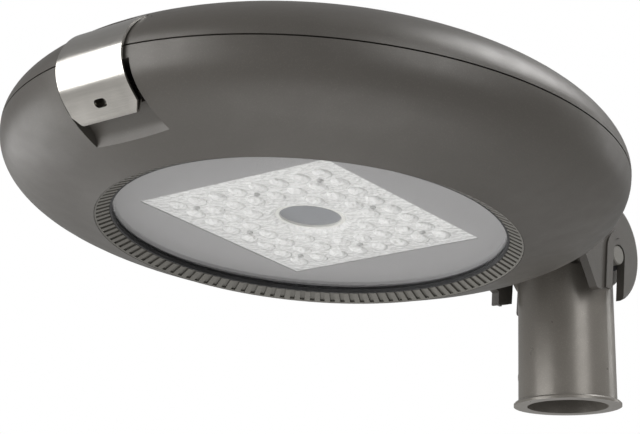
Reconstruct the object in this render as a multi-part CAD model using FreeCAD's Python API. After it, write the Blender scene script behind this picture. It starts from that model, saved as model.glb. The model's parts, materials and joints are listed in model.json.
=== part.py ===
"""Round LED area light on a pole spigot.

All lengths are millimetres. The origin is on the pole's axis at the lower face of the
spigot flange, +Z up; the light leans out over the ground toward -Y, with its latch in front.

The head is drawn level in its own frame, whose origin is the centre of the round body on
the seam between canopy and lower housing, and is then set on the pivot at its tilt.
"""
import FreeCAD, Part
import math
import os

V = FreeCAD.Vector
X_AXIS, Y_AXIS, Z_AXIS = V(1, 0, 0), V(0, 1, 0), V(0, 0, 1)
ORIGIN = V(0, 0, 0)

# ---------------------------------------------------------------- driving dimensions
# Pole and spigot
pole_d = 60.0                # tenon the spigot slips over
pole_clear = 0.4             # radial room around the tenon
pole_depth = 95.0            # length of tenon inside the spigot
sleeve_top_r = 35.75
sleeve_foot_r = 37.0         # casting draft
flange_r = 40.5
flange_h = 3.0
shoulder_drop = 6.0          # pivot down to the top of the spigot's round body
shoulder_round = 2.0
set_screw_d = 8.0
set_screw_low = 25.0         # heights of the pole set screws
set_screw_high = 62.0

# Tilt pivot
pivot_z = 110.0              # height of the pivot above the flange
pin_d = 14.8
barrel_r = 22.5
barrel_half = 36.0
cable_d = 14.0               # cable way beside the pin
grommet_wall = 1.5
grommet_h = 8.0
rest_tilt = 6.5              # degrees, front tips up
tilt_up = 8.5                # further tilt each way from rest
tilt_down = 6.5
lock_y, lock_z = -35.0, 8.0  # tilt lock bolt, from the pivot
lock_bolt_d = 8.0
lock_head_d = 13.0
quadrant_half = 4.0
quadrant_rim = 4.5           # metal left outside the arc slot
quadrant_spread = 8.0        # degrees of metal past each end of the arc slot

# Round body
body_r = 206.6
canopy_rise = 65.0
canopy_wall = 3.2
housing_wall = 3.5
bottom_drop = 49.5           # seam down to the rim of the lens frame
seam_z = -1.0
seam_gap = 1.0
seal_inset = 17.0            # rim to the inner edge of the sealing flanges
seal_h = 3.0

# Neck, from the pivot (y toward the rear, z up)
pivot_behind = 88.8          # pivot behind the rim of the round body
pivot_rise = 23.8            # pivot above the seam
cheek_out = 48.5             # outer face of each cheek from the middle
cheek_t = 6.5
hook_r = 39.0                # round end of the cheek
hook_back = -11.0            # centre of that round from the pivot
slot_clear = 0.35            # pin to slot, all round
neck_wall = 4.0
neck_round = 3.0             # rounding of the neck's long edges
rib_proud = 1.5
rib_w = 6.0
rib_r = 12.5                 # inner radius of the raised rib round the slot

# Cover hinge
hinge_behind = 8.0           # hinge axis behind the rim
hinge_z = -1.0
hinge_pin_d = 6.0
knuckle_r = 6.0
knuckle_in, knuckle_mid, knuckle_out = 20.0, 29.5, 38.0
hinge_gap = 0.5

# Lens frame, glass and mask
frame_r = 140.0
frame_face_w = 9.3           # width of the ribbed face
frame_joint = 0.3            # gap round the lens frame
frame_rise = 4.2             # rise of the ribbed face from rim to glass
seat_z = -42.9               # ledge that carries the frame flange
seat_room = 2.5              # housing wall to the edge of the frame flange
frame_flange_w = 7.3
frame_flange_t = 3.0
groove_count = 120
groove_share = 0.45
groove_depth = 1.3
frame_screw_off = 3.6        # screw circle outside the lens frame
frame_screw_count = 8
glass_lap = 3.1              # glass past the mouth of the frame
glass_edge = 2.7             # rubber outside the glass
gasket_room = 0.2
glass_t = 4.0
glass_z = -42.4              # lower face of the glass
gasket_t = 0.9
mask_t = 1.2
mask_step = 4.5              # width of the step that presses the glass
mask_z = -34.6               # lower face of the mask

# Light source
module_side = 156.5
module_gap = 0.5
lens_pitch = 17.5
lens_rows = 8
lens_len, lens_w, lens_h = 14.6, 11.6, 3.2
plate_t = 2.0
plate_z = -34.2              # lower face of the lens plate
port_r = 23.0                # round opening in the middle of the lens plate
port_flare = 4.0
board_t = 1.6
board_hole_r = 20.5
chip_side = 3.5
chip_t = 0.7
module_screw_pitch = 52.5
module_screw_d = 2.5
spreader_t = 3.0
spreader_inset = 42.0        # edge of the spreader inside the rim
spreader_screw_in = 7.0
spreader_screw_count = 6

# Latch
strap_half = 27.5
strap_t = 1.5
latch_pin_d = 4.0
latch_in = 15.5              # latch pin inside the rim
latch_z = 20.0
recess_half = 30.5
recess_top, recess_depth = -9.0, 24.0
pocket_in = 27.0             # axis of the finger pocket inside the rim
pocket_z, pocket_r = -43.0, 15.5
catch_half = 14.0
catch_nib_z = -16.4          # lower face of the nib the hook pulls on

# Gear, hung from the canopy roof
tray_z = 44.0
tray_t = 1.5
tray_half_x, tray_half_y = 85.0, 100.0
tray_screw_x, tray_screw_y = 75.0, 60.0
driver_half_x, driver_y0, driver_y1, driver_h = 75.0, -75.0, -15.0, 32.0
terminal_half_x, terminal_y0, terminal_y1, terminal_h = 20.0, 70.0, 88.0, 22.0
surge_x0, surge_x1, surge_y0, surge_y1, surge_h = 32.0, 68.0, 55.0, 95.0, 26.0
gland_z = 26.0
gland_d = 20.0
supply_d = 9.0
lead_d = 3.0

pole_r = pole_d / 2 + pole_clear
pin_r = pin_d / 2
pivot_y = body_r + pivot_behind
hinge_y = body_r + hinge_behind
seal_r = body_r - seal_inset
frame_out = frame_r - frame_joint
frame_in = frame_out - frame_face_w
glass_r = frame_in + glass_lap
gasket_out = glass_r + glass_edge
frame_flange_r = frame_out + frame_flange_w
frame_screw_r = frame_out + frame_screw_off
seat_r = frame_flange_r + seat_room
spreader_r = body_r - spreader_inset
spreader_screw_r = spreader_r - spreader_screw_in
latch_y = latch_in - body_r
recess_back = recess_depth - body_r
pocket_y = pocket_in - body_r
slot_r = pin_r + slot_clear
canopy_edge_z = seam_z + seam_gap / 2
housing_edge_z = seam_z - seam_gap / 2
seal_face_z = housing_edge_z + seal_h + 0.3
glass_top_z = glass_z + glass_t
module_half = module_side / 2
plate_top_z = plate_z + plate_t
board_top_z = plate_top_z + board_t
spreader_top_z = board_top_z + spreader_t
lock_r = math.hypot(lock_y, lock_z)
lock_angle = math.degrees(math.atan2(lock_z, lock_y))
cheek_in = cheek_out - cheek_t

os.makedirs("parts", exist_ok=True)


# ---------------------------------------------------------------- helpers
def box(x0, x1, y0, y1, z0, z1):
    return Part.makeBox(x1 - x0, y1 - y0, z1 - z0, V(x0, y0, z0))


def rod(r, start, end):
    """Cylinder of radius r from one point to another."""
    start, end = V(*start), V(*end)
    return Part.makeCylinder(r, (end - start).Length, start, end - start)


def across(r, y, z, x0, x1):
    """Cylinder along X."""
    return rod(r, (x0, y, z), (x1, y, z))


def turned(points):
    """Solid of revolution about Z from a closed (r, z) outline."""
    wire = Part.makePolygon([V(r, 0, z) for r, z in points + points[:1]])
    return Part.Face(wire).revolve(ORIGIN, Z_AXIS, 360)


def tube(r_in, r_out, z0, z1):
    return turned([(r_in, z0), (r_out, z0), (r_out, z1), (r_in, z1)])


def turned_curve(poles, r_axis_points):
    """Solid of revolution: one Bezier skin, closed through a few straight points."""
    curve = Part.BezierCurve()
    curve.setPoles([V(r, 0, z) for r, z in poles])
    closing = [poles[-1]] + r_axis_points + [poles[0]]
    edges = [curve.toShape()]
    for (r0, z0), (r1, z1) in zip(closing, closing[1:]):
        if abs(r0 - r1) + abs(z0 - z1) > 1e-6:
            edges.append(Part.makeLine(V(r0, 0, z0), V(r1, 0, z1)))
    return Part.Face(Part.Wire(edges)).revolve(ORIGIN, Z_AXIS, 360)


def fused(shapes):
    whole = shapes[0]
    if len(shapes) > 1:
        whole = whole.fuse(shapes[1:])
    return whole.removeSplitter()


def both_sides(shape):
    """The shape and its mirror image across the middle plane."""
    return [shape, shape.mirror(ORIGIN, X_AXIS)]


def around(shape, count, first=0.0):
    """Copies of the shape evenly round Z."""
    copies = []
    for i in range(count):
        copy = shape.copy()
        copy.rotate(ORIGIN, Z_AXIS, first + 360.0 * i / count)
        copies.append(copy)
    return copies


def side_plate(edges, x0, x1):
    """Plate between x0 and x1 from edges drawn in the plane x = 0."""
    face = Part.Face(Part.Wire(edges))
    plate = face.extrude(V(x1 - x0, 0, 0))
    plate.translate(V(x0, 0, 0))
    return plate


def yz_line(a, b):
    return Part.makeLine(V(0, *a), V(0, *b))


def yz_arc(centre, r, a0, a1):
    """Arc in the plane x = 0; angles in degrees from +Y toward +Z."""
    def at(angle):
        t = math.radians(angle)
        return V(0, centre[0] + r * math.cos(t), centre[1] + r * math.sin(t))
    return Part.Arc(at(a0), at((a0 + a1) / 2), at(a1)).toShape()


def on_circle(centre, r, angle):
    t = math.radians(angle)
    return (centre[0] + r * math.cos(t), centre[1] + r * math.sin(t))


def walk(point, heading, moves):
    """Where a bent strip's middle line is, and its heading, after some of its moves."""
    y, z = point
    for radius, amount in moves:
        t = math.radians(heading)
        if radius == 0:
            y, z = y + amount * math.cos(t), z + amount * math.sin(t)
        else:
            side = 1 if amount > 0 else -1
            centre = (y - side * radius * math.sin(t), z + side * radius * math.cos(t))
            heading += amount
            y, z = on_circle(centre, radius, heading - side * 90)
    return (y, z), heading


def bent_strip(start, heading, moves, thickness, x0, x1):
    """Bent sheet: moves are (0, length) for a flat and (radius, degrees) for a bend.

    The radius is that of the sheet's middle; positive degrees turn left.
    """
    half = thickness / 2
    pieces = []
    for radius, amount in moves:
        y, z = start
        t = math.radians(heading)
        left = (-math.sin(t), math.cos(t))
        if radius == 0:
            end = (y + amount * math.cos(t), z + amount * math.sin(t))
            corners = [(y + left[0] * half, z + left[1] * half),
                       (y - left[0] * half, z - left[1] * half),
                       (end[0] - left[0] * half, end[1] - left[1] * half),
                       (end[0] + left[0] * half, end[1] + left[1] * half)]
            edges = [yz_line(corners[i], corners[(i + 1) % 4]) for i in range(4)]
        else:
            side = 1 if amount > 0 else -1
            centre = (y + side * radius * left[0], z + side * radius * left[1])
            a0 = heading - side * 90
            a1 = a0 + amount
            outer, inner = radius + half, radius - half
            edges = [yz_arc(centre, outer, a0, a1),
                     yz_line(on_circle(centre, outer, a1), on_circle(centre, inner, a1)),
                     yz_arc(centre, inner, a1, a0),
                     yz_line(on_circle(centre, inner, a0), on_circle(centre, outer, a0))]
        start, heading = walk(start, heading, [(radius, amount)])
        pieces.append(side_plate(edges, x0, x1))
    return fused(pieces)


def socket_screw(d, length, head_d, head_h, point, down=True):
    """Socket-head screw whose head sits on the point; the shank runs down, or up."""
    way = -1 if down else 1
    x, y, z = point
    shank = rod(d / 2, (x, y, z), (x, y, z + way * length))
    head = rod(head_d / 2, (x, y, z), (x, y, z - way * head_h))
    key = rod(d * 0.35, (x, y, z - way * head_h), (x, y, z - way * head_h * 0.4))
    return fused([shank, head]).cut(key)


def from_pivot(y, z):
    """Point of the head's own frame, given from the pivot."""
    return (pivot_y + y, pivot_rise + z)


def place_head(shape):
    """Set a piece of the level head on the pivot at its tilt."""
    placed = shape.copy()
    placed.translate(V(0, -pivot_y, -pivot_rise))
    placed.rotate(ORIGIN, X_AXIS, -rest_tilt)
    placed.translate(V(0, 0, pivot_z))
    return placed


def write(name, shape):
    solids = shape if isinstance(shape, list) else [shape]
    solids = [s for piece in solids for s in piece.Solids]
    for s in solids:
        if not s.isValid():
            print("INVALID", name)
    whole = solids[0] if len(solids) == 1 else Part.makeCompound(solids)
    whole.exportStep("parts/%s.step" % name)
    volume = sum(s.Volume for s in solids)
    print("%-20s solids %3d  volume %10.1f" % (name, len(solids), volume))


def write_head(name, shape):
    shapes = shape if isinstance(shape, list) else [shape]
    write(name, [place_head(s) for s in shapes])


# ---------------------------------------------------------------- spigot
cable_y = -(pin_r + cable_d / 2 + 0.6)
cable_x = 12.0
sleeve_top_z = pivot_z - shoulder_drop
set_screw_faces = [(set_screw_low, 0.0), (set_screw_high, 0.0), (set_screw_low, 90.0)]


def set_screw_rod(r, z, turn, r0, r1):
    """Radial rod at the rear of the spigot, turned round the pole."""
    piece = rod(r, (0, r0, z), (0, r1, z))
    piece.rotate(ORIGIN, Z_AXIS, turn)
    return piece


def make_sleeve():
    outer = turned([(0, 0), (flange_r, 0), (flange_r, flange_h * 0.6),
                    (flange_r - 1.2, flange_h), (sleeve_foot_r, flange_h),
                    (sleeve_top_r, sleeve_top_z - shoulder_round),
                    (sleeve_top_r - shoulder_round, sleeve_top_z), (0, sleeve_top_z)])
    barrel = across(barrel_r, 0, pivot_z, -barrel_half, barrel_half)
    pads = [set_screw_rod(set_screw_d, z, turn, pole_r, sleeve_foot_r + 2.5)
            for z, turn in set_screw_faces]
    body = fused([outer, barrel, make_quadrant()] + pads)
    holes = [Part.makeCylinder(pole_r, pole_depth, ORIGIN, Z_AXIS),
             across(pin_r, 0, pivot_z, -barrel_half - 1, barrel_half + 1),
             rod(cable_d / 2, (cable_x, cable_y, pole_depth - 1),
                 (cable_x, cable_y, pivot_z + barrel_r + 1))]
    holes += [set_screw_rod(set_screw_d / 2, z, turn, 0, flange_r + 5)
              for z, turn in set_screw_faces]
    return body.cut(holes)


def make_quadrant():
    """Slotted sector that the tilt lock bolt clamps; drawn from the pivot at rest tilt."""
    centre = (0.0, pivot_z)
    at_rest = lock_angle - rest_tilt
    a_up = at_rest - tilt_up
    a_down = at_rest + tilt_down
    bolt_r = lock_bolt_d / 2
    rim_r = lock_r + bolt_r + slot_clear + quadrant_rim
    root_r = barrel_r - 3
    a0, a1 = a_up - quadrant_spread - 4, a_down + quadrant_spread
    sector = side_plate([yz_arc(centre, rim_r, a0, a1),
                         yz_line(on_circle(centre, rim_r, a1), on_circle(centre, root_r, a1)),
                         yz_line(on_circle(centre, root_r, a1), on_circle(centre, root_r, a0)),
                         yz_line(on_circle(centre, root_r, a0), on_circle(centre, rim_r, a0))],
                        -quadrant_half, quadrant_half)
    half = bolt_r + slot_clear
    spare = math.degrees(slot_clear / lock_r)
    s0, s1 = a_up - spare, a_down + spare
    slot = side_plate([yz_arc(centre, lock_r + half, s0, s1),
                       yz_line(on_circle(centre, lock_r + half, s1),
                               on_circle(centre, lock_r - half, s1)),
                       yz_arc(centre, lock_r - half, s1, s0),
                       yz_line(on_circle(centre, lock_r - half, s0),
                               on_circle(centre, lock_r + half, s0))],
                      -quadrant_half - 1, quadrant_half + 1)
    ends = []
    for angle in (s0, s1):
        y, z = on_circle(centre, lock_r, angle)
        ends.append(across(half, y, z, -quadrant_half - 1, quadrant_half + 1))
    return sector.cut([slot] + ends)


def make_set_screws():
    screws = []
    for z, turn in set_screw_faces:
        screw = set_screw_rod(set_screw_d / 2 - 0.05, z, turn, pole_r + 0.2, sleeve_foot_r + 4)
        key = set_screw_rod(set_screw_d / 4, z, turn, sleeve_foot_r, sleeve_foot_r + 5)
        screws.append(screw.cut(key))
    return screws


pin_end = cheek_out - 0.5
pin_chamfer = 0.8
grommet_r = cable_d / 2 - 0.05


def make_pin():
    pin = across(pin_r, 0, pivot_z, -pin_end, pin_end)
    return pin.makeChamfer(pin_chamfer, [e for e in pin.Edges if e.Length < 4 * pin_r * math.pi
                                         and e.Curve.TypeId == "Part::GeomCircle"])


def make_bushes():
    bush_end = cheek_in - 0.3
    ring = across(pin_r + 4, 0, pivot_z, barrel_half, bush_end)
    return both_sides(ring.cut(across(pin_r + 0.05, 0, pivot_z, barrel_half - 1, bush_end + 1)))


def make_grommet():
    """Rubber lining of the cable way through the spigot's web."""
    z0, z1 = pole_depth, pole_depth + grommet_h
    lining = rod(grommet_r, (cable_x, cable_y, z0), (cable_x, cable_y, z1))
    return lining.cut(rod(grommet_r - grommet_wall, (cable_x, cable_y, z0 - 1),
                          (cable_x, cable_y, z1 + 1)))


# ---------------------------------------------------------------- canopy and neck
crown_in = 61.0              # how far inside the rim the canopy turns level
canopy_poles = [(body_r, canopy_edge_z), (body_r, 28.0), (body_r - crown_in, canopy_rise),
                (0, canopy_rise)]
canopy_inner_r = body_r - canopy_wall
canopy_inner_poles = [(canopy_inner_r, canopy_edge_z), (canopy_inner_r, 26.5),
                      (body_r - crown_in - 1.5, canopy_rise - canopy_wall),
                      (0, canopy_rise - canopy_wall)]
hook_centre = from_pivot(hook_back, 0.4)
neck_top_angle = 97.5        # where the neck's flat top leaves the round end
neck_end_angle = -53.0       # where the round end gives way to the hook's foot
neck_root = (body_r - 86.0, 41.5)    # the top of the neck is buried in the canopy here
neck_floor = (body_r - 6.0, 1.5)
notch = from_pivot(-47.0, -3.0)
hook_foot_z = pivot_rise - 33.5


def make_neck_outer():
    """Side view of neck and cheeks, as wide as the cheeks."""
    top = on_circle(hook_centre, hook_r, neck_top_angle)
    end = on_circle(hook_centre, hook_r, neck_end_angle)
    corners = [end, (pivot_y + slot_r, hook_foot_z), from_pivot(-slot_r, -28.5),
               from_pivot(-23.7, -34.0), from_pivot(-28.5, -33.5), from_pivot(-45.6, -12.0),
               notch, neck_floor, (neck_root[0], neck_floor[1]), neck_root, top]
    edges = [yz_arc(hook_centre, hook_r, neck_top_angle, neck_end_angle)]
    edges += [yz_line(a, b) for a, b in zip(corners, corners[1:])]
    plate = side_plate(edges, -cheek_out, cheek_out)
    rounded = [e for e in plate.Edges
               if abs(abs(e.CenterOfMass.x) - cheek_out) < 0.1
               and (e.CenterOfMass.y > pivot_y + 10 or e.CenterOfMass.z > pivot_rise + 25)]
    return plate.makeFillet(neck_round, rounded)


def make_neck_inner():
    """Hollow of the neck, open below for the spigot."""
    top = on_circle(hook_centre, hook_r - neck_wall, neck_top_angle)
    end = on_circle(hook_centre, hook_r - neck_wall, 5.0)
    rear = on_circle(hook_centre, hook_r + 5, 5.0)
    below = from_pivot(hook_r, -hook_r - 5)
    corners = [end, rear, below, (notch[0], below[1]), (notch[0], notch[1] + neck_wall),
               (neck_floor[0], neck_floor[1] + neck_wall),
               (neck_root[0], neck_floor[1] + neck_wall),
               (neck_root[0], neck_root[1] - neck_wall), top]
    edges = [yz_arc(hook_centre, hook_r - neck_wall, neck_top_angle, 5.0)]
    edges += [yz_line(a, b) for a, b in zip(corners, corners[1:])]
    return side_plate(edges, -cheek_in, cheek_in)


def far_cheek_relief():
    """The foot of the cheek at -X is narrower than the other one."""
    outline = [from_pivot(y, z) for y, z in ((-25.0, -36.0), (-25.5, -24.0), (-38.0, -20.0),
                                             (-50.0, -20.0), (-50.0, -36.0), (-25.0, -36.0))]
    edges = [yz_line(a, b) for a, b in zip(outline, outline[1:])]
    return side_plate(edges, -cheek_out - 1, -cheek_in + 1)


def make_hook_slot():
    y, z = pivot_y, pivot_rise
    hole = across(slot_r, y, z, -cheek_out - 2, cheek_out + 2)
    way = box(-cheek_out - 2, cheek_out + 2, y - slot_r, y + slot_r, z - hook_r - 5, z)
    return hole.fuse(way)


def make_rib():
    """Raised rib that runs up beside the slot and over the pin."""
    centre = from_pivot(0, 0)
    outer_r = rib_r + rib_w
    foot = pivot_rise - 31.0
    x0, x1 = cheek_out - 0.5, cheek_out + rib_proud
    band = side_plate([yz_arc(centre, outer_r, 180, 100),
                       yz_line(on_circle(centre, outer_r, 100), on_circle(centre, rib_r, 100)),
                       yz_arc(centre, rib_r, 100, 180),
                       yz_line((centre[0] - rib_r, centre[1]), (centre[0] - rib_r, foot)),
                       yz_line((centre[0] - rib_r, foot), (centre[0] - outer_r, foot)),
                       yz_line((centre[0] - outer_r, foot), (centre[0] - outer_r, centre[1]))],
                      x0, x1)
    return both_sides(band)


lock_hole_r = lock_bolt_d / 2 + 0.3
lock_point = from_pivot(lock_y, lock_z)
gland_back_y = body_r - 51.0         # the gland's boss starts inside the body here
gland_wall_y = body_r - 34.0         # seat of the gland's nut
gland_face_y = body_r - 4.0
gland_boss_r, gland_nut_room = 19.0, 15.5
vent_x = 29.0
vent_d = 12.0


def make_canopy():
    outer = turned_curve(canopy_poles, [(0, canopy_edge_z)])
    inner = turned_curve(canopy_inner_poles, [(0, canopy_edge_z)])
    shell = outer.cut(inner)
    seal = tube(seal_r, canopy_inner_r + 1, seal_face_z, seal_face_z + 2.8)
    neck = make_neck_outer().cut([make_neck_inner(), make_hook_slot(), far_cheek_relief(),
                                  inner])
    skirt_clear = Part.makeCylinder(body_r + 1.5, bottom_drop, V(0, 0, -bottom_drop), Z_AXIS)
    skirt_clear = skirt_clear.common(box(-cheek_out, cheek_out, 0, body_r + 5,
                                         -bottom_drop, canopy_edge_z))
    lugs = both_sides(fused([
        across(knuckle_r, hinge_y, hinge_z, knuckle_in, knuckle_mid - hinge_gap),
        box(knuckle_in, knuckle_mid - hinge_gap, hinge_y - 4.5, hinge_y + 5.5, hinge_z, 11.0)]))
    bosses = [rod(gland_boss_r, (0, gland_back_y, gland_z), (0, gland_face_y, gland_z)),
              rod(9, (vent_x, gland_back_y, gland_z), (vent_x, gland_face_y - 3, gland_z)),
              across(11, lock_point[0], lock_point[1], cheek_in - 6, cheek_in + 1)]
    for x in (-tray_screw_x, tray_screw_x):
        for y in (-tray_screw_y, tray_screw_y):
            boss = rod(5, (x, y, tray_z + tray_t), (x, y, canopy_rise))
            bosses.append(boss.common(outer))
    latch_tub = across(latch_groove_r + 3, latch_y, latch_z,
                       -recess_half - 5, recess_half + 5).common(outer)
    body = fused([shell, seal, neck] + make_rib() + lugs + bosses + [latch_tub])
    holes = [across(hinge_pin_d / 2, hinge_y, hinge_z, -knuckle_mid - 1, knuckle_mid + 1),
             rod(gland_d / 2, (0, gland_wall_y - 1, gland_z), (0, gland_face_y + 1, gland_z)),
             rod(gland_nut_room, (0, gland_back_y - 20, gland_z), (0, gland_wall_y, gland_z)),
             rod(vent_d / 2, (vent_x, gland_back_y - 5, gland_z), (vent_x, gland_face_y, gland_z)),
             across(lock_hole_r, *lock_point, -cheek_out - 1, -cheek_in + 1),
             across(lock_bolt_d / 2, *lock_point, cheek_in - 7, cheek_out - 2.5),
             latch_groove(), strap_room(), skirt_clear,
             across(latch_pin_d / 2, latch_y, latch_z, -recess_half - 3, recess_half + 3)]
    for x in (-tray_screw_x, tray_screw_x):
        for y in (-tray_screw_y, tray_screw_y):
            holes.append(rod(2.0, (x, y, tray_z), (x, y, tray_z + 10)))
    return body.cut(holes)


latch_groove_r = 5.2
groove_half = strap_half + 0.8
strap_gap = 0.4              # strap to casting


def latch_groove():
    """Groove in the canopy that the strap's rolled eye turns in."""
    groove = across(latch_groove_r, latch_y, latch_z, -groove_half, groove_half)
    mouth = box(-groove_half, groove_half, -latch_groove_r - 20, 0,
                -latch_groove_r, latch_groove_r)
    mouth.rotate(ORIGIN, X_AXIS, -44)
    mouth.translate(V(0, latch_y, latch_z))
    return groove.fuse(mouth)


def strap_room():
    """Shallow flat that the strap lies in, from its eye down over the rim."""
    depth = 10.0
    grow = (depth - strap_t) / 2 - strap_gap
    t = math.radians(strap_heading)
    reach = eye_mid_r + grow
    start = (latch_y + reach * math.sin(t), latch_z - reach * math.cos(t))
    moves = [(r + grow if r else 0, amount) for r, amount in strap_moves[1:5]]
    return bent_strip(start, strap_heading, moves, depth, -groove_half, groove_half)


def make_lock_bolt():
    y, z = lock_point
    head = across(lock_head_d / 2, y, z, -cheek_out - 8, -cheek_out)
    shank = across(lock_bolt_d / 2 - 0.05, y, z, -cheek_out, cheek_out - 3)
    key = across(3, y, z, -cheek_out - 9, -cheek_out - 4)
    return fused([head, shank]).cut(key)


def make_lock_spacers():
    y, z = lock_point
    inner, left_end, right_end = quadrant_half + 0.3, cheek_in, cheek_in - 6
    bore = across(lock_bolt_d / 2 + 0.15, y, z, -cheek_in - 1, cheek_in + 1)
    return [across(7, y, z, -left_end, -inner).cut(bore), across(7, y, z, inner, right_end).cut(bore)]


# ---------------------------------------------------------------- lower housing
flare = 22.0                 # reach of the flat part outside the lens frame
housing_poles = [(body_r, housing_edge_z), (body_r, -33.6), (frame_r + flare, -39.7),
                 (frame_r, -bottom_drop)]
housing_inner_r = body_r - housing_wall
housing_inner_poles = [(housing_inner_r, housing_edge_z), (housing_inner_r, -31.5),
                       (frame_r + flare + 1.0, -36.0), (seat_r, seat_z)]
spreader_boss_r = 5.5


def pocket_shape(grow, half):
    """Hollow behind the strap: a box for the hook above a round finger pocket."""
    box_top, box_low = recess_top + grow, pocket_z + 8
    back = recess_back + grow
    pocket = across(pocket_r + grow, pocket_y, pocket_z, -half - grow, half + grow)
    upper = box(-half - grow, half + grow, -body_r - 5, back, box_low, box_top)
    outside = box(-half - grow, half + grow, -body_r - 5, pocket_y, pocket_z - pocket_r - grow,
                  box_low + 1)
    return fused([pocket, upper, outside])


def make_housing():
    outer = turned_curve(housing_poles, [(0, -bottom_drop), (0, housing_edge_z)])
    inner = turned_curve(housing_inner_poles, [(0, seat_z), (0, housing_edge_z)])
    mouth = Part.makeCylinder(frame_r, bottom_drop, V(0, 0, -bottom_drop - 1), Z_AXIS)
    shell = outer.cut([inner, mouth])
    seal = tube(seal_r, housing_inner_r + 1, housing_edge_z - 3.2, housing_edge_z)
    bosses = [b.common(outer) for b in around(
        rod(spreader_boss_r, (spreader_screw_r, 0, -bottom_drop),
            (spreader_screw_r, 0, board_top_z)), spreader_screw_count, 30.0)]
    arms = both_sides(fused([
        across(knuckle_r, hinge_y, hinge_z, knuckle_mid, knuckle_out),
        box(knuckle_mid, knuckle_out, housing_inner_r - 6, hinge_y, hinge_z - knuckle_r,
            housing_edge_z - 0.7)]))
    tub = pocket_shape(housing_wall, recess_half).common(outer).cut(mouth)
    body = fused([shell, seal, tub] + bosses + arms)
    holes = [pocket_shape(0, recess_half), strap_room(),
             across(hinge_pin_d / 2 + 0.08, hinge_y, hinge_z, -knuckle_out - 1, knuckle_out + 1)]
    holes += around(rod(2.0, (spreader_screw_r, 0, board_top_z - 9),
                        (spreader_screw_r, 0, board_top_z + 1)), spreader_screw_count, 30.0)
    holes += around(rod(2.0, (frame_screw_r, 0, seat_z - 3.0), (frame_screw_r, 0, seat_z + 1)),
                    frame_screw_count, 22.5)
    holes += [rod(1.5, (x, recess_back - 1, catch_screw_z), (x, recess_back + 3, catch_screw_z))
              for x in (-catch_screw_x, catch_screw_x)]
    return body.cut(holes)


catch_screw_x = 9.0
catch_screw_z = -23.0
catch_t = 2.0
catch_reach = 8.5


def make_catch():
    """Steel angle behind the strap; the hook pulls up on its nib."""
    plate = box(-catch_half, catch_half, recess_back - catch_t, recess_back, -27.0,
                catch_nib_z + 2)
    nib = box(-catch_half, catch_half, recess_back - catch_reach, recess_back - catch_t,
              catch_nib_z, catch_nib_z + 2)
    holes = [rod(1.6, (x, recess_back - 5, catch_screw_z), (x, recess_back + 1, catch_screw_z))
             for x in (-catch_screw_x, catch_screw_x)]
    return fused([plate, nib]).cut(holes)


def make_catch_screws():
    screws = []
    for x in (-catch_screw_x, catch_screw_x):
        face = recess_back - catch_t
        shank = rod(1.45, (x, face, catch_screw_z), (x, face + 4.8, catch_screw_z))
        head = rod(2.8, (x, face - 1.2, catch_screw_z), (x, face, catch_screw_z))
        screws.append(fused([shank, head]))
    return screws


def make_seal():
    return tube(seal_r + 3, seal_r + 9, housing_edge_z, housing_edge_z + seal_h)


def make_hinge_pins():
    return both_sides(across(hinge_pin_d / 2 - 0.02, hinge_y, hinge_z, knuckle_in,
                             knuckle_out + 1))


# ---------------------------------------------------------------- lens frame and glass
frame_low_z = -bottom_drop + 0.1
frame_high_z = frame_low_z + frame_rise
glass_seat_z = glass_z - gasket_t
channel_r = gasket_out + gasket_room


def make_frame():
    ring = turned([(frame_out, frame_low_z), (frame_out, seat_z), (frame_flange_r, seat_z),
                   (frame_flange_r, seat_z + frame_flange_t),
                   (channel_r, seat_z + frame_flange_t), (channel_r, glass_seat_z),
                   (frame_in, glass_seat_z), (frame_in, frame_high_z)])
    pitch = 2 * math.pi * frame_r / groove_count
    slope = math.degrees(math.atan2(frame_rise, frame_out - frame_in))
    cutter = box(-20, 0, -pitch * groove_share / 2, pitch * groove_share / 2, -5, groove_depth)
    cutter.translate(V(-1.2, 0, 0))
    cutter.rotate(ORIGIN, Y_AXIS, slope)
    cutter.translate(V(frame_out, 0, frame_low_z))
    holes = around(rod(2.2, (frame_screw_r, 0, seat_z - 1), (frame_screw_r, 0, seat_z + 5)),
                   frame_screw_count, 22.5)
    return ring.cut(around(cutter, groove_count)).cut(holes)


def make_glass():
    glass = Part.makeCylinder(glass_r, glass_t, V(0, 0, glass_z), Z_AXIS)
    return glass.makeChamfer(0.5, [e for e in glass.Edges
                                   if e.Curve.TypeId == "Part::GeomCircle"])


def make_glass_gasket():
    """Black channel round the glass edge, with a lip that lines the frame's mouth."""
    lip_out = frame_in - 0.1
    lip_in = lip_out - 1.4
    inner = glass_r - mask_step + 0.4
    top = glass_top_z + gasket_t
    return turned([(lip_in, frame_high_z + 0.3), (lip_out, frame_high_z + 0.3),
                   (lip_out, glass_seat_z), (gasket_out, glass_seat_z), (gasket_out, top),
                   (inner, top), (inner, glass_top_z), (glass_r, glass_top_z),
                   (glass_r, glass_z), (lip_in, glass_z)])


def make_mask():
    """Pressed sheet that hides the frame and clamps glass and gasket."""
    rim = seat_z + frame_flange_t
    press = glass_top_z + gasket_t
    wall, dish = channel_r + 0.4 + mask_t, glass_r - mask_step
    sheet = turned([(frame_flange_r, rim), (frame_flange_r, rim + mask_t),
                    (wall, rim + mask_t), (wall, press + mask_t), (dish, press + mask_t),
                    (dish, mask_z + mask_t), (0, mask_z + mask_t), (0, mask_z),
                    (dish - mask_t, mask_z), (dish - mask_t, press), (wall - mask_t, press),
                    (wall - mask_t, rim)])
    half = module_half + module_gap
    window = box(-half, half, -half, half, mask_z - 5, mask_z + 5)
    holes = around(rod(2.2, (frame_screw_r, 0, rim - 1), (frame_screw_r, 0, rim + 5)),
                   frame_screw_count, 22.5)
    return sheet.cut([window] + holes)


def make_frame_screws():
    rim = seat_z + frame_flange_t + mask_t
    screw = socket_screw(3.9, frame_flange_t + mask_t + 2.8, 7.0, 2.6, (frame_screw_r, 0, rim))
    return around(screw, frame_screw_count, 22.5)


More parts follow.
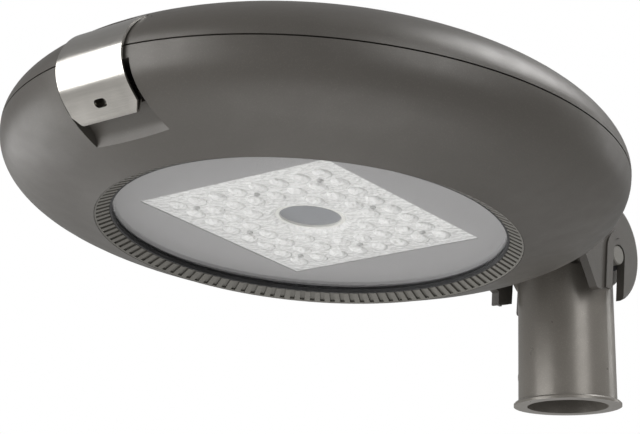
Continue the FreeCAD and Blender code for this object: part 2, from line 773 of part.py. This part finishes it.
# ---------------------------------------------------------------- light source
def lens_places():
    """Lens centres: a square grid without the ones over the round port."""
    places = []
    for i in range(lens_rows):
        for j in range(lens_rows):
            x = (i - (lens_rows - 1) / 2) * lens_pitch
            y = (j - (lens_rows - 1) / 2) * lens_pitch
            if math.hypot(x, y) > port_r + port_flare + lens_len / 2 - 1:
                places.append((x, y))
    return places


def module_screw_places():
    steps = (-module_screw_pitch, 0, module_screw_pitch)
    return [(x, y) for x in steps for y in steps if x or y]


def make_lens_array():
    plate = box(-module_half, module_half, -module_half, module_half, plate_z, plate_top_z)
    skirt = 0.4
    dome = Part.makeSphere(1.0, ORIGIN, V(0, 0, 1), -90, 0, 360)
    stretch = FreeCAD.Matrix()
    stretch.scale(lens_w / 2, lens_len / 2, lens_h - skirt)
    dome = dome.transformGeometry(stretch)
    port = Part.makeCone(port_r + port_flare, port_r, plate_t, V(0, 0, plate_z), Z_AXIS)
    cell_r = chip_side * 0.95
    domes, cells = [], []
    for x, y in lens_places():
        lens = dome.copy()
        lens.translate(V(x, y, plate_z + 0.01))
        domes.append(lens)
        cells.append(rod(cell_r, (x, y, plate_top_z - 1.2), (x, y, plate_top_z + 1)))
    screw_holes = [rod(1.7, (x, y, plate_z - 1), (x, y, plate_top_z + 1))
                   for x, y in module_screw_places()]
    return plate.fuse(domes).cut([port] + cells + screw_holes)


def make_board():
    half = module_half - 0.5
    board = box(-half, half, -half, half, plate_top_z, board_top_z)
    holes = [rod(board_hole_r, (0, 0, plate_top_z - 1), (0, 0, board_top_z + 1))]
    holes += [rod(1.7, (x, y, plate_top_z - 1), (x, y, board_top_z + 1))
              for x, y in module_screw_places()]
    return board.cut(holes)


def make_chips():
    half = chip_side / 2
    return [box(x - half, x + half, y - half, y + half, plate_top_z - chip_t, plate_top_z)
            for x, y in lens_places()]


def make_module_screws():
    length = plate_t + board_t + spreader_t - 0.5
    return [socket_screw(module_screw_d, length, 4.0, 1.4, (x, y, plate_z), down=False)
            for x, y in module_screw_places()]


def make_spreader():
    """Aluminium plate that carries the light source and takes its heat to the housing."""
    plate = Part.makeCylinder(spreader_r, spreader_t, V(0, 0, board_top_z), Z_AXIS)
    holes = around(rod(2.2, (spreader_screw_r, 0, board_top_z - 1),
                       (spreader_screw_r, 0, spreader_top_z + 1)), spreader_screw_count, 30.0)
    holes += [rod(1.5, (x, y, board_top_z - 1), (x, y, spreader_top_z + 1))
              for x, y in module_screw_places()]
    pocket_back = recess_back + housing_wall + 1
    flat = box(-recess_half - housing_wall - 1, recess_half + housing_wall + 1,
               -spreader_r - 1, pocket_y + pocket_r + housing_wall + 1,
               board_top_z - 1, spreader_top_z + 1)
    return plate.cut(holes + [flat])


def make_spreader_screws():
    screw = socket_screw(3.9, spreader_t + 8, 7.0, 3.0, (spreader_screw_r, 0, spreader_top_z))
    return around(screw, spreader_screw_count, 30.0)


def make_led_socket():
    """Two-pole socket that the driver's output lead plugs into."""
    x, y = 60.0, 100.0
    block = box(x, x + 22, y, y + 12, spreader_top_z, spreader_top_z + 9)
    ways = [rod(2.2, (x + dx, y - 1, spreader_top_z + 5), (x + dx, y + 7, spreader_top_z + 5))
            for dx in (6, 16)]
    return block.cut(ways)


# ---------------------------------------------------------------- gear
def make_tray():
    plate = box(-tray_half_x, tray_half_x, -tray_half_y, tray_half_y, tray_z, tray_z + tray_t)
    lips = [box(-tray_half_x, tray_half_x, y, y + tray_t, tray_z - 6, tray_z + tray_t)
            for y in (-tray_half_y, tray_half_y - tray_t)]
    holes = [rod(2.2, (x, y, tray_z - 1), (x, y, tray_z + 5))
             for x in (-tray_screw_x, tray_screw_x) for y in (-tray_screw_y, tray_screw_y)]
    cable_gap = box(-8, 8, tray_half_y - 5, tray_half_y + 5, tray_z - 8, tray_z - 1)
    return fused([plate] + lips).cut(holes + [cable_gap])


def make_tray_screws():
    return [socket_screw(3.9, 8, 7.0, 3.0, (x, y, tray_z), down=False)
            for x in (-tray_screw_x, tray_screw_x) for y in (-tray_screw_y, tray_screw_y)]


def make_driver():
    can = box(-driver_half_x + 8, driver_half_x - 8, driver_y0, driver_y1,
              tray_z - driver_h, tray_z)
    can = can.makeFillet(2.5, [e for e in can.Edges if abs(e.CenterOfMass.z - tray_z) > 1])
    ears = box(-driver_half_x - 2, driver_half_x + 2, driver_y0 + 22, driver_y1 - 22,
               tray_z - 2, tray_z)
    return fused([can, ears])


def make_terminal():
    block = box(-terminal_half_x, terminal_half_x, terminal_y0, terminal_y1,
                tray_z - terminal_h, tray_z)
    ports = [rod(2.6, (x, terminal_y0 + 6, tray_z - terminal_h - 1),
                 (x, terminal_y0 + 6, tray_z - terminal_h + 5)) for x in (-12, 0, 12)]
    return block.cut(ports)


def make_surge():
    can = box(surge_x0, surge_x1, surge_y0, surge_y1, tray_z - surge_h, tray_z)
    return can.makeFillet(2.0, [e for e in can.Edges if abs(e.CenterOfMass.z - tray_z) > 1])


def make_clamp():
    """Saddle that holds the supply cable below the tray."""
    y0, y1 = terminal_y1 + 1.5, terminal_y1 + 9
    half = supply_d / 2 + 5
    saddle = box(-half, half, y0, y1, gland_z - supply_d / 2 - 3, tray_z)
    return saddle.cut(rod(supply_d / 2 + 0.05, (0, y0 - 1, gland_z), (0, y1 + 1, gland_z)))


def make_gland():
    """Cable gland: collar and dome outside the wall, thread and nut inside."""
    bore_r = supply_d / 2 + 0.05
    thread = rod(gland_d / 2 - 0.05, (0, gland_wall_y - 9, gland_z), (0, gland_face_y, gland_z))
    collar = rod(12, (0, gland_face_y, gland_z), (0, gland_face_y + 6, gland_z))
    dome = Part.makeCone(11, 7.5, 10, V(0, gland_face_y + 6, gland_z), Y_AXIS)
    bore = rod(bore_r, (0, gland_wall_y - 10, gland_z), (0, gland_face_y + 20, gland_z))
    return fused([thread, collar, dome]).cut(bore)


def make_gland_nut():
    y0, y1 = gland_wall_y - 5, gland_wall_y
    nut = Part.makePolygon([V(13.5 * math.cos(math.radians(60 * i)), y0,
                              gland_z + 13.5 * math.sin(math.radians(60 * i)))
                            for i in range(7)])
    nut = Part.Face(nut).extrude(V(0, y1 - y0, 0))
    return nut.cut(rod(gland_d / 2, (0, y0 - 1, gland_z), (0, y1 + 1, gland_z)))


def make_vent():
    """Breather plug that lets the body equalise pressure."""
    stem = rod(vent_d / 2 - 0.05, (vent_x, gland_wall_y, gland_z),
               (vent_x, gland_face_y - 3, gland_z))
    cap = rod(8, (vent_x, gland_face_y - 3, gland_z), (vent_x, gland_face_y + 2, gland_z))
    return fused([stem, cap])


def make_supply_lead():
    return rod(supply_d / 2, (0, terminal_y1, gland_z), (0, gland_face_y + 14, gland_z))


def make_gear_leads():
    """Leads from the terminal block to the driver and the surge protector."""
    z = tray_z - 11
    runs = [rod(lead_d / 2, (x, driver_y1, z), (x, terminal_y0, z)) for x in (-8, 0, 8)]
    surge_y = (terminal_y0 + terminal_y1) / 2
    return runs + [rod(lead_d / 2, (terminal_half_x, surge_y, z), (surge_x0, surge_y, z))]


# ---------------------------------------------------------------- latch
strap_heading = -145.7       # the strap leaves its rolled eye this way, degrees from +Y
eye_mid_r = latch_pin_d / 2 + 0.06 + strap_t / 2
strap_moves = [(eye_mid_r, 300.0), (33.5, 40.8), (23.5, 35.1), (33.0, 29.6), (0, 13.6),
               (1.6, 167.0), (0, 14.0), (1.4, -125.5), (0, 3.5)]
hole_l, hole_w = 10.0, 5.7
hole_along = 3.8             # slotted hole from the end of the last bend
corner_cut = 6.0


def make_strap():
    """Stainless strap: rolled eye, outer face, folded inner leaf and hook."""
    first = strap_heading - strap_moves[0][1]
    t = math.radians(first)
    start = (latch_y + eye_mid_r * math.sin(t), latch_z - eye_mid_r * math.cos(t))
    strap = bent_strip(start, first, strap_moves, strap_t, -strap_half, strap_half)
    place, low_heading = walk(start, first, strap_moves[:4] + [(0, hole_along)])
    foot, low_heading = walk(start, first, strap_moves[:5])
    hole = fused([rod(hole_w / 2, (x, 0, -3), (x, 0, 3))
                  for x in (-(hole_l - hole_w) / 2, (hole_l - hole_w) / 2)]
                 + [box(-(hole_l - hole_w) / 2, (hole_l - hole_w) / 2, -hole_w / 2, hole_w / 2,
                        -3, 3)])
    hole.rotate(ORIGIN, X_AXIS, low_heading)
    hole.translate(V(0, *place))
    corner_x, below = strap_half - corner_cut, strap_t * 2
    corner = Part.Face(Part.makePolygon([V(corner_x, below, 0), V(strap_half + 1, below, 0),
                                         V(strap_half + 1, -corner_cut - 1, 0),
                                         V(corner_x, below, 0)]))
    corner = corner.extrude(V(0, 0, 30))
    corner.translate(V(0, 0, -15))
    corner.rotate(ORIGIN, X_AXIS, low_heading)
    corner.translate(V(0, *foot))
    return strap.cut([hole] + both_sides(corner))


def make_latch_pin():
    return across(latch_pin_d / 2 - 0.01, latch_y, latch_z, -recess_half - 2, recess_half + 2)


# ---------------------------------------------------------------- write the parts
write("spigot_sleeve", make_sleeve())
write("pole_set_screws", make_set_screws())
write("pivot_pin", make_pin())
write("pivot_bushes", make_bushes())
write("spigot_grommet", make_grommet())

write_head("canopy", make_canopy())
write_head("tilt_lock_bolt", make_lock_bolt())
write_head("tilt_lock_spacers", make_lock_spacers())
write_head("hinge_pins", make_hinge_pins())
write_head("latch_pin", make_latch_pin())
write_head("gear_tray", make_tray())
write_head("tray_screws", make_tray_screws())
write_head("led_driver", make_driver())
write_head("terminal_block", make_terminal())
write_head("surge_protector", make_surge())
write_head("cable_clamp", make_clamp())
write_head("cable_gland", make_gland())
write_head("gland_nut", make_gland_nut())
write_head("vent_plug", make_vent())
write_head("supply_lead", make_supply_lead())
write_head("gear_leads", make_gear_leads())

write_head("lower_housing", make_housing())
write_head("housing_gasket", make_seal())
write_head("lens_frame", make_frame())
write_head("frame_screws", make_frame_screws())
write_head("glass_lens", make_glass())
write_head("glass_gasket", make_glass_gasket())
write_head("light_mask", make_mask())
write_head("lens_array", make_lens_array())
write_head("led_board", make_board())
write_head("led_chips", make_chips())
write_head("module_screws", make_module_screws())
write_head("heat_spreader", make_spreader())
write_head("spreader_screws", make_spreader_screws())
write_head("led_socket", make_led_socket())
write_head("latch_catch", make_catch())
write_head("catch_screws", make_catch_screws())

write_head("latch_strap", make_strap())
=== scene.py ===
# %% [markdown]
# # A round LED area light on its pole spigot
#
# The real light is a pressure-cast body about 0.4 m across. A flat glass in a ribbed ring
# covers a square lens plate below, and a bent steel strap holds the lower half shut. The
# frame holds every casting, screw and pin at its true size, so this script is about looks:
# the finish of each surface, the view of the photograph and a plain studio.

# %% Load the frame
import json
import math
import bpy
from mathutils import Matrix, Vector

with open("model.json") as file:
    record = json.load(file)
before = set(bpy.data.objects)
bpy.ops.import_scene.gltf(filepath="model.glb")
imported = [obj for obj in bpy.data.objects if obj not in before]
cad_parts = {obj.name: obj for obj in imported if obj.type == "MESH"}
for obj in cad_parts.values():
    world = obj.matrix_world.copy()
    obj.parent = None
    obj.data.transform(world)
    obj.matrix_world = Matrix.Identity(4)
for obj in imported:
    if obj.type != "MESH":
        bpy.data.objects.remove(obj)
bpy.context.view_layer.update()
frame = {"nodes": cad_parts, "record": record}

bpy.ops.object.select_all(action="DESELECT")

# %% [markdown]
# ## A helper for finishes
#
# Every finish starts as a Principled shader. Its patterns read Object coordinates, which
# are metres here because every piece sits at the origin unscaled. A scale of 1000 on a
# noise therefore gives grains about a millimetre across, the same on every piece.

# %% Finish helper


def linear(r, g, b):
    """A colour given in 0-255 steps, as the linear value that a shader takes."""
    def channel(v):
        v /= 255
        return v / 12.92 if v <= 0.04045 else ((v + 0.055) / 1.055) ** 2.4
    return (channel(r), channel(g), channel(b), 1.0)


class Finish:
    """One material, built up a layer at a time."""

    def __init__(self, name, rough, metallic=0.0, specular=0.5):
        self.material = bpy.data.materials.new(name)
        self.material.use_nodes = True
        self.nodes = self.material.node_tree.nodes
        self.links = self.material.node_tree.links
        self.shader = self.nodes["Principled BSDF"]
        self.shader.inputs["Roughness"].default_value = rough
        self.shader.inputs["Metallic"].default_value = metallic
        self.shader.inputs["Specular IOR Level"].default_value = specular
        self.place = self.nodes.new("ShaderNodeTexCoord").outputs["Object"]

    def stretched(self, x, y, z):
        mapping = self.nodes.new("ShaderNodeMapping")
        mapping.inputs["Scale"].default_value = (x, y, z)
        self.links.new(self.place, mapping.inputs["Vector"])
        return mapping.outputs["Vector"]

    def noise(self, scale, detail=3.0, rough=0.5, place=None):
        node = self.nodes.new("ShaderNodeTexNoise")
        node.inputs["Scale"].default_value = scale
        node.inputs["Detail"].default_value = detail
        node.inputs["Roughness"].default_value = rough
        self.links.new(place or self.place, node.inputs["Vector"])
        return node.outputs["Fac"]

    def cells(self, scale, place=None):
        node = self.nodes.new("ShaderNodeTexVoronoi")
        node.inputs["Scale"].default_value = scale
        self.links.new(place or self.place, node.inputs["Vector"])
        return node

    def span(self, value, low, high, to_low, to_high):
        """The value's stretch from low to high, spread over another range."""
        node = self.nodes.new("ShaderNodeMapRange")
        for socket, number in (("From Min", low), ("From Max", high),
                               ("To Min", to_low), ("To Max", to_high)):
            node.inputs[socket].default_value = number
        self.links.new(value, node.inputs["Value"])
        return node.outputs["Result"]

    def mixed(self, factor, first, second):
        """A colour between two, each a plain colour or another socket."""
        node = self.nodes.new("ShaderNodeMix")
        node.data_type = "RGBA"
        self.links.new(factor, node.inputs["Factor"])
        for socket, colour in ((node.inputs[6], first), (node.inputs[7], second)):
            if isinstance(colour, tuple):
                socket.default_value = colour
            else:
                self.links.new(colour, socket)
        return node.outputs[2]

    def colour(self, value):
        if isinstance(value, tuple):
            self.shader.inputs["Base Color"].default_value = value
        else:
            self.links.new(value, self.shader.inputs["Base Color"])

    def roughness(self, value):
        self.links.new(value, self.shader.inputs["Roughness"])

    def bump(self, height, depth, strength=1.0):
        """Relief in the shading: depth is the real height of the pattern in metres."""
        node = self.nodes.new("ShaderNodeBump")
        node.inputs["Distance"].default_value = depth
        node.inputs["Strength"].default_value = strength
        self.links.new(height, node.inputs["Height"])
        last = self.shader.inputs["Normal"].links
        if last:
            self.links.new(last[0].from_socket, node.inputs["Normal"])
        self.links.new(node.outputs["Normal"], self.shader.inputs["Normal"])


# %% [markdown]
# ## Powder coat on the castings
#
# The castings wear a dark bronze-grey powder coat with a little metal flake. Up close it
# has the slight orange peel of baked powder. A fine noise gives that relief, a slow noise
# lets the tone drift, and small cells make the flake.

# %% Powder coat


def powder_coat(name, tone, rough, metallic):
    finish = Finish(name, rough, metallic)
    dark = tuple(c * 0.93 for c in tone[:3]) + (1.0,)
    light = tuple(c * 1.07 for c in tone[:3]) + (1.0,)
    drift = finish.span(finish.noise(7.0, 2.0), 0.35, 0.65, 0.0, 1.0)
    base = finish.mixed(drift, dark, light)
    flake = finish.cells(2600.0).outputs["Color"]
    split = finish.nodes.new("ShaderNodeSeparateColor")
    finish.links.new(flake, split.inputs["Color"])
    spark = finish.span(split.outputs["Red"], 0.80, 1.0, 0.0, 0.22)
    bright = tuple(min(1.0, c * 2.2) for c in tone[:3]) + (1.0,)
    finish.colour(finish.mixed(spark, base, bright))
    finish.roughness(finish.span(finish.noise(60.0, 4.0), 0.3, 0.7, rough - 0.04, rough + 0.05))
    finish.bump(finish.noise(1100.0, 2.0, 0.6), 0.00004, 0.6)
    return finish.material


casting_coat = powder_coat("powder_coat_body", linear(70, 67, 63), 0.42, 0.20)
spigot_coat = powder_coat("powder_coat_spigot", linear(112, 108, 102), 0.31, 0.30)
frame_coat = powder_coat("powder_coat_frame", linear(100, 98, 93), 0.46, 0.25)
print("powder coats: body, spigot and lens frame")

# %% [markdown]
# ## Steel
#
# The strap is bent from polished stainless sheet, so it mirrors the studio in broad soft
# bands. The rolling of the sheet leaves very fine lines along it. A noise that is
# stretched far longer one way than the other draws them.

# %% Steel


def rolled_steel(name, tone, rough, line_scale=(30.0, 2500.0, 2500.0)):
    finish = Finish(name, rough, 1.0)
    lines = finish.noise(1.0, 3.0, 0.6, finish.stretched(*line_scale))
    dark = tuple(c * 0.86 for c in tone[:3]) + (1.0,)
    finish.colour(finish.mixed(finish.span(lines, 0.3, 0.7, 0.0, 1.0), dark, tone))
    smudge = finish.noise(45.0, 4.0)
    finish.roughness(finish.span(smudge, 0.35, 0.75, rough - 0.03, rough + 0.08))
    finish.bump(lines, 0.000004, 0.5)
    return finish.material


strap_steel = rolled_steel("polished_strap_steel", linear(192, 189, 184), 0.20)
stainless = rolled_steel("stainless_bar", linear(178, 176, 172), 0.30, (900.0, 900.0, 900.0))
zinc_steel = rolled_steel("zinc_plated_steel", linear(204, 204, 204), 0.42, (700.0, 700.0, 700.0))

# %% [markdown]
# ## Sheet and plate inside
#
# Galvanised sheet shows its spangle: flat crystals a few millimetres across, each a
# slightly different grey. Voronoi cells are that pattern. The heat spreader is plain mill
# aluminium with rolling lines along Y.

# %% Sheet and plate


def galvanised(name):
    finish = Finish(name, 0.42, 0.85)
    spangle = finish.cells(170.0)
    split = finish.nodes.new("ShaderNodeSeparateColor")
    finish.links.new(spangle.outputs["Color"], split.inputs["Color"])
    finish.colour(finish.mixed(split.outputs["Red"], linear(172, 175, 178), linear(205, 207, 208)))
    finish.roughness(finish.span(split.outputs["Green"], 0.0, 1.0, 0.34, 0.50))
    return finish.material


def mill_plate(name, tone):
    finish = Finish(name, 0.48, 0.35)
    lines = finish.noise(1.0, 2.0, 0.5, finish.stretched(1800.0, 25.0, 1800.0))
    dark = tuple(c * 0.88 for c in tone[:3]) + (1.0,)
    finish.colour(finish.mixed(lines, dark, tone))
    finish.bump(lines, 0.000005, 0.5)
    return finish.material


tray_sheet = galvanised("galvanised_tray")
spreader_plate = mill_plate("heat_spreader_plate", linear(116, 120, 128))


def satin_paint(name, tone, rough, grain=1500.0):
    finish = Finish(name, rough, 0.0)
    dark = tuple(c * 0.94 for c in tone[:3]) + (1.0,)
    finish.colour(finish.mixed(finish.noise(25.0, 3.0), dark, tone))
    finish.bump(finish.noise(grain, 2.0), 0.00002, 0.5)
    return finish.material


mask_paint = satin_paint("grey_mask_paint", linear(134, 133, 135), 0.45)

# %% [markdown]
# ## Glass, lenses and light source
#
# The glass is a real slab 4 mm thick, so a Principled shader with full transmission bends
# the view through both faces as the real one does. Its shadow would darken all that lies
# behind it, so shadow rays meet a transparent shader instead. The lens plate is a clear
# moulding over a white board. It reads as white plastic with a wet gloss, crumpled by
# small facets and a finer noise. A few greyer specks are painted shade, standing in for
# optics that turn away from the light.

# %% Glass and lenses


def clear_glass(name):
    finish = Finish(name, 0.02, 0.0)
    finish.shader.inputs["Transmission Weight"].default_value = 1.0
    finish.shader.inputs["IOR"].default_value = 1.5
    finish.colour(linear(252, 252, 252))
    smear = finish.noise(14.0, 5.0, 0.6)
    finish.roughness(finish.span(smear, 0.35, 0.8, 0.01, 0.05))
    let_lamps_through(finish)
    return finish.material


def let_lamps_through(finish):
    """Shadow rays pass the clear piece, so the lamps light what lies behind it."""
    path = finish.nodes.new("ShaderNodeLightPath")
    clear = finish.nodes.new("ShaderNodeBsdfTransparent")
    mix = finish.nodes.new("ShaderNodeMixShader")
    finish.links.new(path.outputs["Is Shadow Ray"], mix.inputs["Fac"])
    finish.links.new(finish.shader.outputs["BSDF"], mix.inputs[1])
    finish.links.new(clear.outputs["BSDF"], mix.inputs[2])
    finish.links.new(mix.outputs["Shader"], finish.nodes["Material Output"].inputs["Surface"])


def lens_moulding(name):
    finish = Finish(name, 0.14, 0.0, 0.6)
    # Painted shade: greyer specks in the colour where the lens optics turn away from the light.
    painted_shade_specks = finish.noise(420.0, 3.0, 0.6)
    white = finish.mixed(finish.noise(150.0, 3.0), linear(246, 247, 246), linear(255, 255, 254))
    finish.colour(finish.mixed(finish.span(painted_shade_specks, 0.56, 0.72, 0.0, 0.7), white,
                               linear(172, 172, 166)))
    finish.shader.inputs["Coat Weight"].default_value = 0.8
    finish.shader.inputs["Coat Roughness"].default_value = 0.05
    facets = finish.cells(260.0).outputs["Distance"]
    finish.bump(facets, 0.0018, 0.85)
    finish.bump(finish.noise(480.0, 2.0), 0.0011, 0.8)
    return finish.material


glass = clear_glass("toughened_glass")
lens_plastic = lens_moulding("lens_plate_moulding")
board_white = satin_paint("white_solder_mask", linear(236, 236, 230), 0.35)
phosphor = satin_paint("led_phosphor", linear(232, 205, 90), 0.30)

# %% [markdown]
# ## Rubber and plastics
#
# Rubber is nearly black and dull, with a faint bloom that greys it in patches. The other
# mouldings are nylon or thermoplastic, with the fine spark-eroded texture of a mould.

# %% Rubber and plastics


def moulded(name, tone, rough, grain, depth):
    finish = Finish(name, rough, 0.0, 0.4)
    pale = tuple(min(1.0, c * 1.18 + 0.004) for c in tone[:3]) + (1.0,)
    finish.colour(finish.mixed(finish.span(finish.noise(40.0, 4.0), 0.4, 0.75, 0.0, 1.0),
                               tone, pale))
    finish.roughness(finish.span(finish.noise(90.0, 3.0), 0.3, 0.7, rough - 0.05, rough + 0.05))
    finish.bump(finish.noise(grain, 2.0), depth, 0.6)
    return finish.material


rubber = moulded("black_gasket_rubber", linear(38, 38, 39), 0.62, 900.0, 0.00003)
black_nylon = moulded("black_nylon", linear(34, 34, 35), 0.48, 1600.0, 0.00003)
cream_plastic = moulded("cream_thermoplastic", linear(222, 216, 200), 0.42, 1600.0, 0.00002)
driver_case = moulded("white_driver_case", linear(226, 226, 222), 0.36, 1400.0, 0.00002)
cable_jacket = moulded("cable_jacket", linear(30, 30, 31), 0.50, 700.0, 0.00003)

# %% [markdown]
# ## Give each node its finish
#
# The record names one slot for each node, and one finish goes with each slot, so no node
# is missed.

# %% Assign the finishes
finish_of_slot = {
    "casting": casting_coat,
    "spigot_casting": spigot_coat,
    "frame_casting": frame_coat,
    "stainless": stainless,
    "coated_steel": frame_coat,
    "strap_steel": strap_steel,
    "screw_steel": zinc_steel,
    "spreader": spreader_plate,
    "tray_steel": tray_sheet,
    "mask_sheet": mask_paint,
    "glass": glass,
    "rubber_black": rubber,
    "lens_plastic": lens_plastic,
    "board_white": board_white,
    "phosphor": phosphor,
    "driver_case": driver_case,
    "block_plastic": cream_plastic,
    "black_plastic": black_nylon,
    "cable_jacket": cable_jacket,
}
for part in frame["record"]["subparts"]:
    node = frame["nodes"][part["node"]]
    for slot in node.material_slots:
        slot.material = finish_of_slot[part["material_slot"]]
print("finishes: %d" % len(finish_of_slot))

# %% [markdown]
# ## Camera
#
# The photograph looks up at the light from its front right. A long lens flattens it, so
# the camera stands well back. The place and the angles come from matching the round rim,
# the glass and the spigot, and are written as a photographer would note them: where the
# tripod stands, which way the lens turns and how far it tips.

# %% Camera
SENSOR = 0.036
FOCAL = 0.11616
TRIPOD = Vector((0.8464, -1.2923, -0.2591))
TURN = math.radians(40.19)
TIP_UP = math.radians(14.77)
ROLL = math.radians(0.58)


def aimed(forward, roll):
    """Rotation of a camera that looks along forward, rolled about its own axis."""
    right = forward.cross(Vector((0, 0, 1))).normalized()
    up = right.cross(forward)
    rolled_right = right * math.cos(roll) + up * math.sin(roll)
    rolled_up = up * math.cos(roll) - right * math.sin(roll)
    return Matrix((rolled_right, rolled_up, -forward)).transposed().to_4x4()


forward = Vector((-math.sin(TURN) * math.cos(TIP_UP), math.cos(TURN) * math.cos(TIP_UP),
                  math.sin(TIP_UP)))
lens = bpy.data.cameras.new("camera")
lens.sensor_width = SENSOR * 1000
lens.lens = FOCAL * 1000
camera = bpy.data.objects.new("camera", lens)
camera.matrix_world = Matrix.Translation(TRIPOD) @ aimed(forward, ROLL)
bpy.context.collection.objects.link(camera)
bpy.context.scene.camera = camera

# %% [markdown]
# ## Studio
#
# Each soft lamp has one job, and its place follows from the reflection it makes. The left
# key lamp stands where the middle of the strap mirrors it, and the right one where the
# spigot mirrors it a little right of its middle. A high lamp draws the band along the top
# right of the canopy, a narrow one behind draws the bright right edge of the spigot, and
# two weak ones lift the lower half from the left and from below. The floor lies far below
# because the camera looks up from underneath. It glows faintly, so that it stays pale where
# no lamp reaches. The world is white where the camera sees it, straight or through glass,
# and a plain grey as a light and in mirrors.

# %% Lamps, world and floor
AIM = Vector((0.0, -0.25, 0.10))


def softbox(name, place, width, height, watts):
    light = bpy.data.lights.new(name, "AREA")
    light.shape = "RECTANGLE"
    light.size, light.size_y = width, height
    light.energy = watts
    lamp = bpy.data.objects.new(name, light)
    forward_to_light = (AIM - Vector(place)).normalized()
    lamp.matrix_world = Matrix.Translation(place) @ aimed(forward_to_light, 0.0)
    bpy.context.collection.objects.link(lamp)
    return lamp


softbox("key_left", (-0.70, -1.80, 0.36), 1.4, 1.7, 33.0)
softbox("key_right", (2.00, -0.75, 0.65), 1.1, 2.0, 22.0)
softbox("high_right", (1.25, 1.20, 2.25), 1.8, 1.6, 72.0)
softbox("rim_back", (0.90, 2.40, 0.60), 0.4, 2.0, 8.0)
softbox("low_left", (-3.00, -0.60, -0.90), 2.2, 2.0, 34.0)
softbox("below", (-0.20, -0.40, -2.60), 2.0, 2.0, 17.0)

world = bpy.data.worlds.new("studio")
world.use_nodes = True
bpy.context.scene.world = world
sky = world.node_tree.nodes
sky_links = world.node_tree.links
background = sky["Background"]
path = sky.new("ShaderNodeLightPath")
seen = sky.new("ShaderNodeMath")
seen.operation = "MAXIMUM"
sky_links.new(path.outputs["Is Camera Ray"], seen.inputs[0])
sky_links.new(path.outputs["Is Transmission Ray"], seen.inputs[1])
level = sky.new("ShaderNodeMapRange")
level.inputs["To Min"].default_value = 0.32
level.inputs["To Max"].default_value = 1.0
sky_links.new(seen.outputs[0], level.inputs["Value"])
sky_links.new(level.outputs["Result"], background.inputs["Strength"])
background.inputs["Color"].default_value = (1.0, 1.0, 1.0, 1.0)

FLOOR_Z = -3.5
bpy.ops.mesh.primitive_plane_add(size=40.0, location=(0, 0, FLOOR_Z))
floor = bpy.context.active_object
floor.name = "studio_floor"
bpy.ops.object.transform_apply(location=True)
floor_finish = Finish("studio_floor", 0.9, 0.0, 0.1)
floor_tone = floor_finish.mixed(floor_finish.noise(0.6), linear(225, 224, 222),
                                linear(231, 230, 228))
floor_finish.colour(floor_tone)
floor_finish.links.new(floor_tone, floor_finish.shader.inputs["Emission Color"])
floor_finish.shader.inputs["Emission Strength"].default_value = 0.32
floor.data.materials.append(floor_finish.material)

bpy.context.scene.view_settings.view_transform = "Standard"
